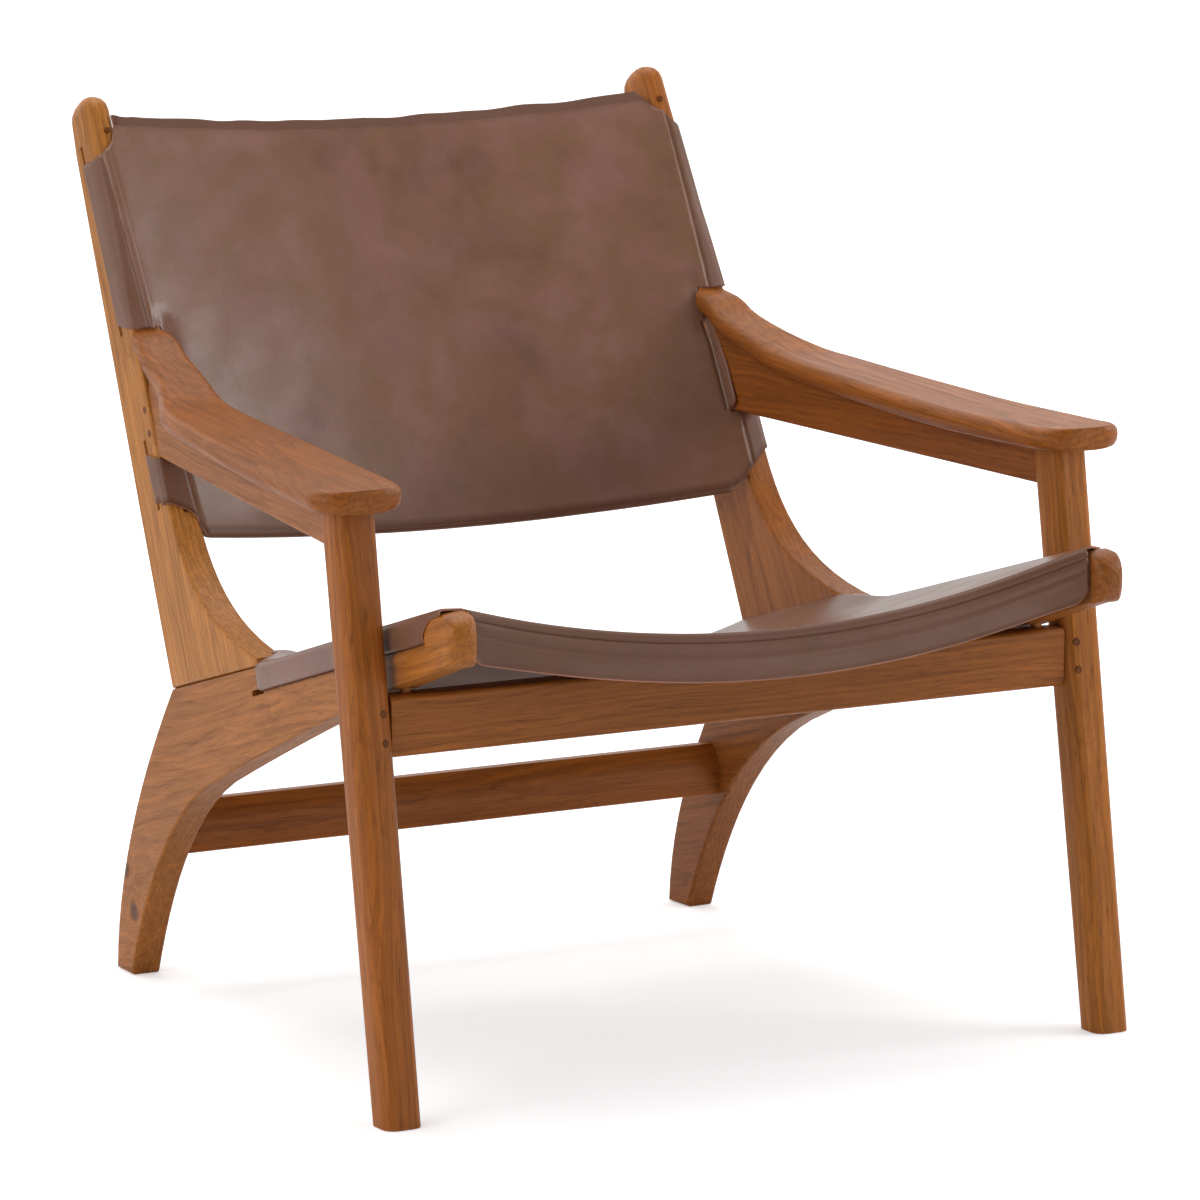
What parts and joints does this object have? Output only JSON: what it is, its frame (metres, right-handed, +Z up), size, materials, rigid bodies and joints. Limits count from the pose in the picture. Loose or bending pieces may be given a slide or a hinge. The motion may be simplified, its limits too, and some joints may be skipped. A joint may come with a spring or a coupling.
{
  "type": "leather sling lounge chair",
  "caption": "Low lounge chair with a raked wooden frame, wide flat armrests and two bowed leather slings tucked into slots as seat and back.",
  "frame": {"origin": "on the floor, under the middle of the chair's outer box", "axes": "+Z up, the sitter faces -Y, and the sitter's left is +X"},
  "size_m": [0.7872, 0.7887, 0.787],
  "materials": {
    "teak": "satin oiled teak",
    "pale_wood": "raw hardwood",
    "dark_peg": "dark filled peg",
    "leather": "waxed brown hide with a soft sheen"
  },
  "bodies": {
    "root": {"apron_peg_lower_left": "dark_peg", "apron_peg_lower_right": "dark_peg", "apron_peg_upper_left": "dark_peg", "apron_peg_upper_right": "dark_peg", "arm_dowel_front_left": "pale_wood", "arm_dowel_front_right": "pale_wood", "arm_dowel_rear_left": "pale_wood", "arm_dowel_rear_right": "pale_wood", "arm_peg_lower_left": "dark_peg", "arm_peg_lower_right": "dark_peg", "arm_peg_upper_left": "dark_peg", "arm_peg_upper_right": "dark_peg", "arm_rail_left": "teak", "arm_rail_right": "teak", "armrest_left": "teak", "armrest_right": "teak", "back_post_left": "teak", "back_post_right": "teak", "back_sling": "leather", "back_spline_lower_left": "pale_wood", "back_spline_lower_right": "pale_wood", "back_spline_upper_left": "pale_wood", "back_spline_upper_right": "pale_wood", "front_apron": "teak", "front_leg_left": "teak", "front_leg_right": "teak", "leg_dowel_left": "pale_wood", "leg_dowel_right": "pale_wood", "post_foot_dowel_front_left": "pale_wood", "post_foot_dowel_front_right": "pale_wood", "post_foot_dowel_rear_left": "pale_wood", "post_foot_dowel_rear_right": "pale_wood", "post_plug_lower_left": "dark_peg", "post_plug_lower_right": "dark_peg", "post_plug_upper_left": "dark_peg", "post_plug_upper_right": "dark_peg", "rail_dowel_left": "pale_wood", "rail_dowel_right": "pale_wood", "rear_stretcher": "teak", "seat_sling": "leather", "seat_spline_left": "pale_wood", "seat_spline_right": "pale_wood", "side_rail_left": "teak", "side_rail_right": "teak"}
  },
  "joints": []
}
